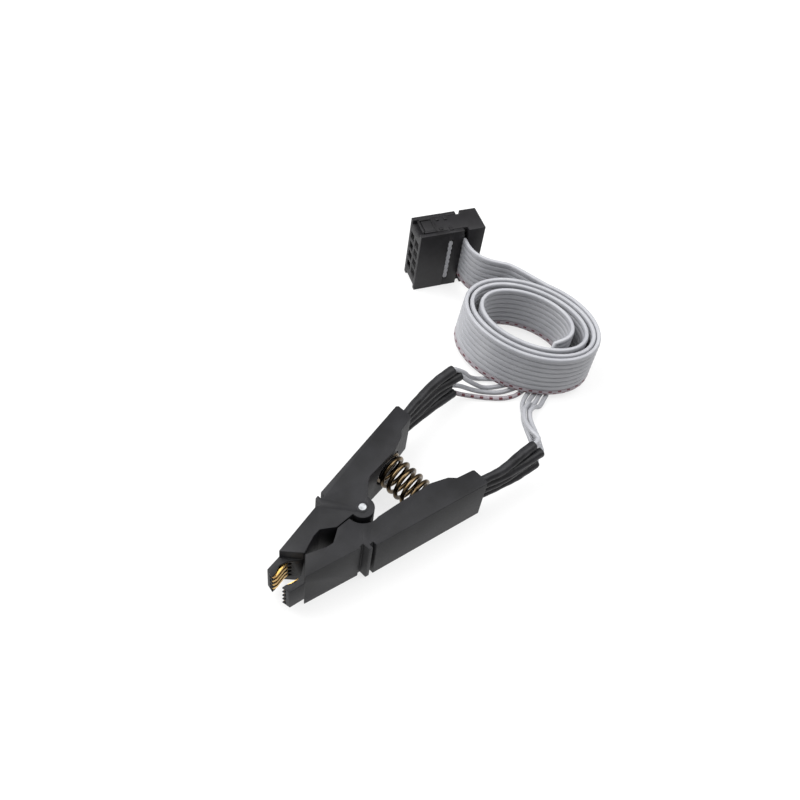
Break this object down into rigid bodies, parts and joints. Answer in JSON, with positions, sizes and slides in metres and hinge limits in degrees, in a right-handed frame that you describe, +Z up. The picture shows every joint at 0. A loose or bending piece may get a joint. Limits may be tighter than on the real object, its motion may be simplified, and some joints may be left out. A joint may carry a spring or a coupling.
{
  "type": "ic test clip",
  "caption": "Spring test clip that grips a small-outline chip by its legs, with sleeved wires, a coiled grey ribbon cable and a pin-header socket on the cable's end.",
  "frame": {"origin": "on the surface that the clip lies on, under the middle of the clip without its cable: the middle of its width and of its length from the jaw tips to the ends of the sleeves", "axes": "+Z up, along the pivot pin, away from the surface; +Y from the jaws towards the handles and the cable; +X towards the right arm, seen from above with the jaws nearest"},
  "size_m": [0.0526, 0.0831, 0.0148],
  "materials": {
    "clip_plastic": "moulded glass-filled nylon, black, slightly rough",
    "pin_steel": "bright turned steel",
    "spring_steel": "bronze-tinted plated spring wire",
    "contact_gold": "gold plating over copper alloy",
    "heat_shrink": "shrunk black tubing, satin",
    "cable_jacket": "grey flexible insulation, satin, ribbed",
    "socket_plastic": "moulded black plastic"
  },
  "bodies": {
    "left_side": {"left_arm": "clip_plastic", "pivot_pin": "pin_steel", "spring": "spring_steel", "left_contact_1": "contact_gold", "left_contact_2": "contact_gold", "left_contact_3": "contact_gold", "left_contact_4": "contact_gold", "left_sleeve_1": "heat_shrink", "left_sleeve_2": "heat_shrink", "left_sleeve_3": "heat_shrink", "left_sleeve_4": "heat_shrink", "left_wire_1": "cable_jacket", "left_wire_2": "cable_jacket", "left_wire_3": "cable_jacket", "left_wire_4": "cable_jacket", "right_wire_1": "cable_jacket", "right_wire_2": "cable_jacket", "right_wire_3": "cable_jacket", "right_wire_4": "cable_jacket", "ribbon_coil": "cable_jacket", "ribbon_lead": "cable_jacket", "socket_base": "socket_plastic", "socket_cover": "socket_plastic", "strain_relief": "socket_plastic", "socket_contact_1": "contact_gold", "socket_contact_2": "contact_gold", "socket_contact_3": "contact_gold", "socket_contact_4": "contact_gold", "socket_contact_5": "contact_gold", "socket_contact_6": "contact_gold", "socket_contact_7": "contact_gold", "socket_contact_8": "contact_gold"},
    "right_side": {"right_arm": "clip_plastic", "right_contact_1": "contact_gold", "right_contact_2": "contact_gold", "right_contact_3": "contact_gold", "right_contact_4": "contact_gold", "right_sleeve_1": "heat_shrink", "right_sleeve_2": "heat_shrink", "right_sleeve_3": "heat_shrink", "right_sleeve_4": "heat_shrink"}
  },
  "joints": [
    {"name": "clip_pivot", "type": "hinge", "parent": "left_side", "child": "right_side", "pos_m": [0, -0.00727, 0.00485], "axis": [0, 0, 1], "range_deg": [0, 22], "stiffness_Nm_per_rad": 0.05, "springref_deg": -20.05, "deforming": ["spring", "right_wire_1", "right_wire_2", "right_wire_3", "right_wire_4"]}
  ]
}
